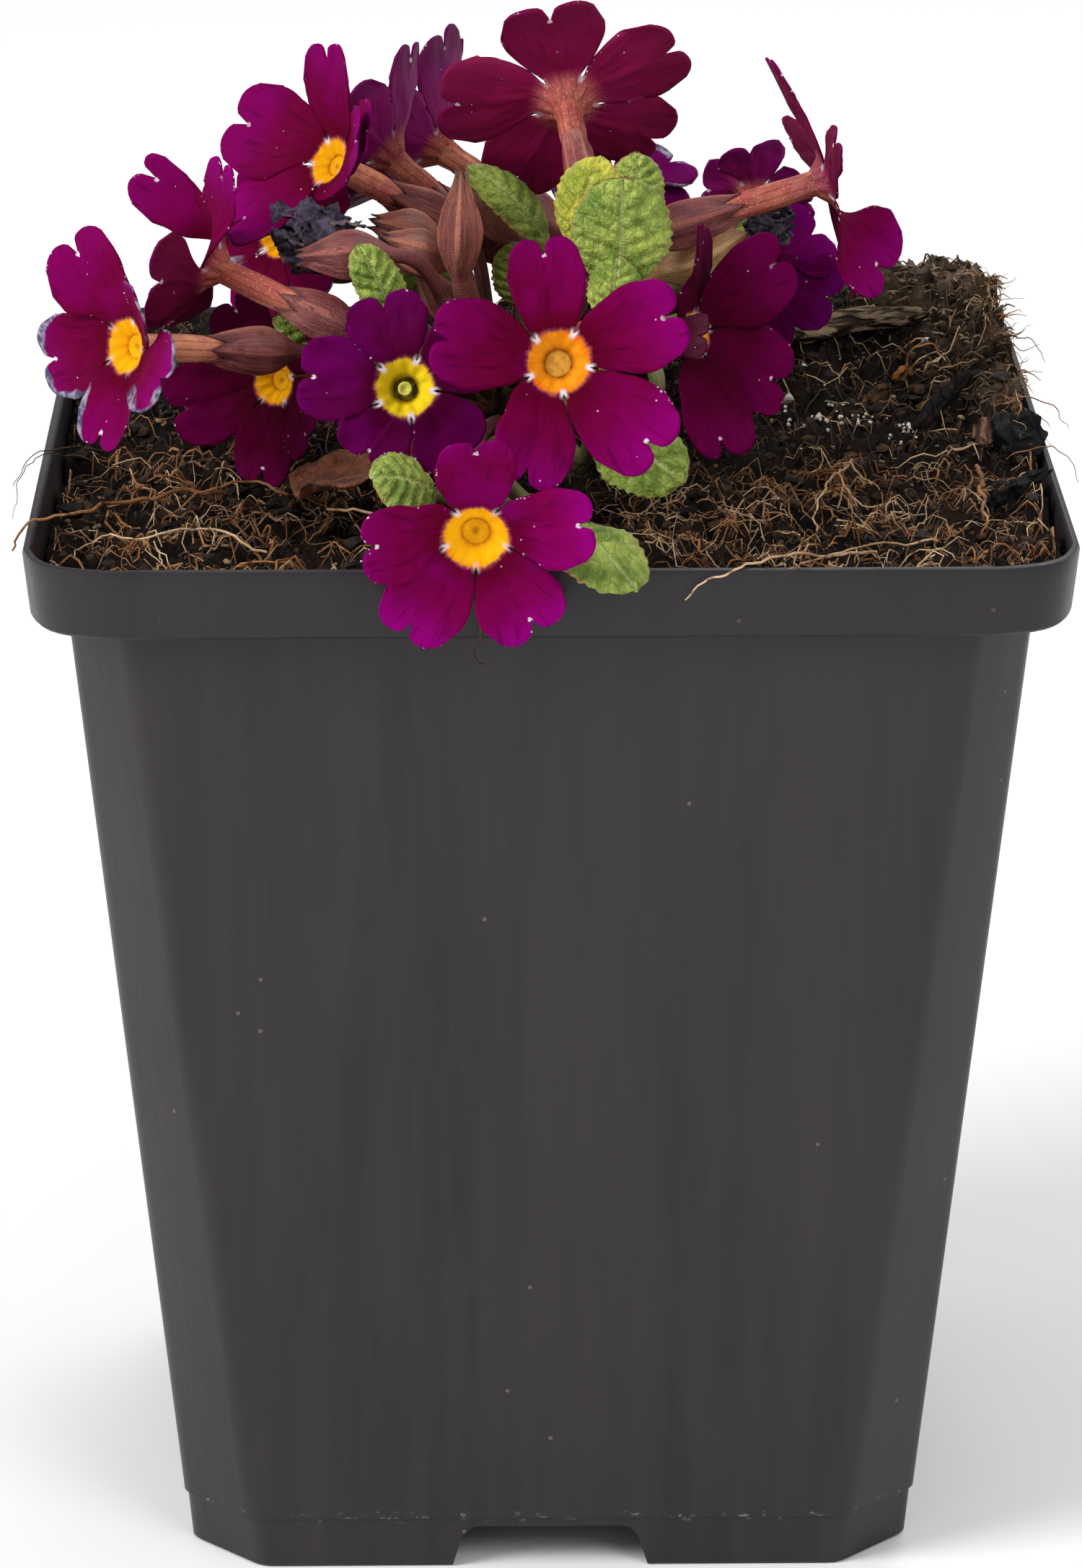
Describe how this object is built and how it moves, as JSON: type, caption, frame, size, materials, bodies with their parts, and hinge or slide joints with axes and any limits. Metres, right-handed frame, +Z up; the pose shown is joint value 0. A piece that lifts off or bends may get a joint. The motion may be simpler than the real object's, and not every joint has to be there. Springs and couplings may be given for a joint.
{
  "type": "potted primrose",
  "caption": "Potted primrose with notched magenta flowers on short stalks, crinkled leaves and peat, in a tapered square black nursery pot.",
  "frame": {"origin": "middle of the bounding box's base, which is the plane that the pot's skirt stands on", "axes": "+Z up; -Y is the side with the most open flowers; +X to the right seen from that side"},
  "size_m": [0.11, 0.1148, 0.1686],
  "materials": {
    "pot_plastic": "satin",
    "peat": "matte",
    "crown": "matte",
    "petals_purple": "satin",
    "petals_violet": "satin",
    "petals_wine": "satin",
    "calyx": "satin",
    "spent_calyx": "matte",
    "withered_petals": "matte",
    "leaf": "satin",
    "dead_leaf": "matte",
    "weathered_wood": "matte",
    "twig": "matte",
    "bark": "matte"
  },
  "bodies": {
    "root": {"pot": "pot_plastic", "soil": "peat", "root_crown": "crown", "corolla_a": "petals_purple", "corolla_b": "petals_purple", "corolla_c": "petals_purple", "corolla_d": "petals_purple", "corolla_e": "petals_wine", "corolla_f": "petals_violet", "corolla_g": "petals_purple", "corolla_h": "petals_purple", "corolla_i": "petals_wine", "corolla_j": "petals_purple", "corolla_k": "petals_violet", "corolla_l": "petals_violet", "corolla_m": "petals_purple", "corolla_n": "petals_violet", "corolla_o": "petals_violet", "corolla_p": "petals_violet", "flower_stalk_a": "calyx", "flower_stalk_b": "calyx", "flower_stalk_c": "calyx", "flower_stalk_d": "calyx", "flower_stalk_e": "calyx", "flower_stalk_f": "calyx", "flower_stalk_g": "calyx", "flower_stalk_h": "calyx", "flower_stalk_i": "calyx", "flower_stalk_j": "calyx", "flower_stalk_k": "calyx", "flower_stalk_l": "calyx", "flower_stalk_m": "calyx", "flower_stalk_n": "calyx", "flower_stalk_o": "calyx", "flower_stalk_p": "calyx", "spent_stalk_a": "spent_calyx", "spent_stalk_b": "spent_calyx", "spent_stalk_c": "spent_calyx", "spent_stalk_d": "spent_calyx", "spent_stalk_e": "spent_calyx", "spent_stalk_f": "spent_calyx", "withered_corolla_a": "withered_petals", "withered_corolla_b": "withered_petals", "leaf_a": "leaf", "leaf_b": "leaf", "leaf_c": "leaf", "leaf_d": "leaf", "leaf_e": "leaf", "leaf_f": "leaf", "leaf_g": "leaf", "leaf_h": "leaf", "leaf_i": "leaf", "leaf_j": "leaf", "leaf_k": "leaf", "leaf_l": "leaf", "dead_leaf": "dead_leaf", "wood_chip": "weathered_wood", "dark_twig": "twig", "bark_piece": "bark"}
  },
  "joints": []
}
